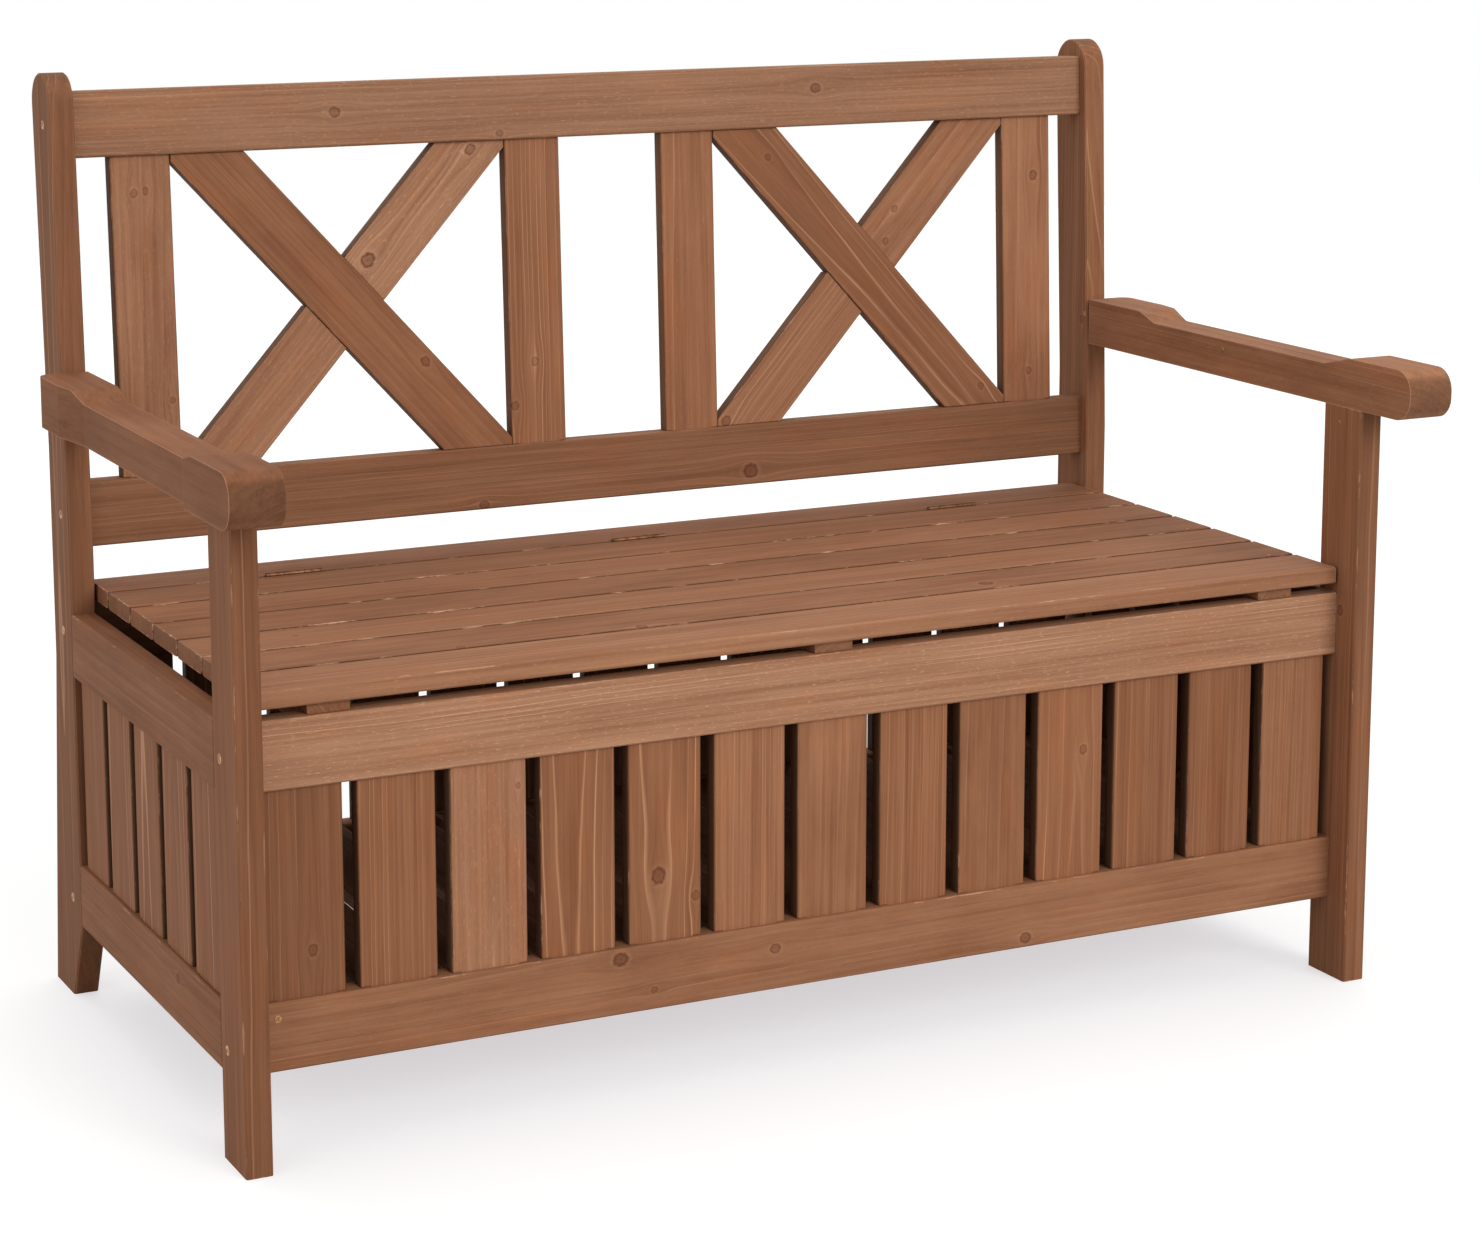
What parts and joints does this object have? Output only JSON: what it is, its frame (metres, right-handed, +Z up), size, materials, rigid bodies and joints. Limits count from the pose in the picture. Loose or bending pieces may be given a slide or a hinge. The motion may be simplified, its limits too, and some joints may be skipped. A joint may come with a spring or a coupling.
{
  "type": "settle bench",
  "caption": "Slatted wooden settle bench with arms, a crossed back and a hinged seat lid over a storage chest.",
  "frame": {"origin": "on the floor, under the middle of the outline of the whole bench", "axes": "+X along the bench, to the right of someone who faces its front; +Y from the front to the back; +Z up"},
  "size_m": [1.25, 0.686, 0.932],
  "materials": {
    "frame_timber": "brown stained softwood, satin, worn on its edges",
    "rail_timber": "brown stained softwood, satin",
    "slat_timber": "brown stained softwood, satin, paler edges",
    "back_timber": "brown stained softwood, satin",
    "seat_timber": "brown stained softwood, satin, worn",
    "inner_timber": "brown stained softwood, sawn",
    "dowels": "plain beech",
    "screws": "dull yellow passivated",
    "hinges": "antique brass",
    "hinge_pins": "dull"
  },
  "bodies": {
    "frame": {"arm_dowels": "dowels", "arm_left": "frame_timber", "arm_right": "frame_timber", "back_lower_rail": "back_timber", "back_top_rail": "back_timber", "back_upright_1": "back_timber", "back_upright_2": "back_timber", "back_upright_3": "back_timber", "back_upright_4": "back_timber", "cross_long_left": "back_timber", "cross_long_right": "back_timber", "cross_lower_left": "back_timber", "cross_lower_right": "back_timber", "cross_upper_left": "back_timber", "cross_upper_right": "back_timber", "floor_boards": "inner_timber", "floor_cleats": "inner_timber", "frame_screws": "screws", "front_lower_rail": "rail_timber", "front_slat_01": "slat_timber", "front_slat_02": "slat_timber", "front_slat_03": "slat_timber", "front_slat_04": "slat_timber", "front_slat_05": "slat_timber", "front_slat_06": "slat_timber", "front_slat_07": "slat_timber", "front_slat_08": "slat_timber", "front_slat_09": "slat_timber", "front_slat_10": "slat_timber", "front_slat_11": "slat_timber", "front_slat_12": "slat_timber", "front_slat_13": "slat_timber", "front_upper_rail": "rail_timber", "hinge_leaves_fixed": "hinges", "hinge_pins": "hinge_pins", "leg_front_left": "frame_timber", "leg_front_right": "frame_timber", "leg_rear_left": "frame_timber", "leg_rear_right": "frame_timber", "rear_lower_rail": "rail_timber", "rear_slats": "slat_timber", "rear_upper_rail": "rail_timber", "seat_bearers": "inner_timber", "seat_slat_fixed": "seat_timber", "side_lower_rail_left": "rail_timber", "side_lower_rail_right": "rail_timber", "side_slats_left": "slat_timber", "side_slats_right": "slat_timber", "side_upper_rail_left": "rail_timber", "side_upper_rail_right": "rail_timber"},
    "lid": {"hinge_leaves_lid": "hinges", "lid_batten_left": "inner_timber", "lid_batten_middle": "inner_timber", "lid_batten_right": "inner_timber", "lid_slat_1": "seat_timber", "lid_slat_2": "seat_timber", "lid_slat_3": "seat_timber", "lid_slat_4": "seat_timber", "lid_slat_5": "seat_timber", "lid_slat_6": "seat_timber"}
  },
  "joints": [
    {"name": "lid_hinge", "type": "hinge", "parent": "frame", "child": "lid", "pos_m": [0, 0.2076, 0.4305], "axis": [-1, 0, 0], "range_deg": [0, 97]}
  ]
}
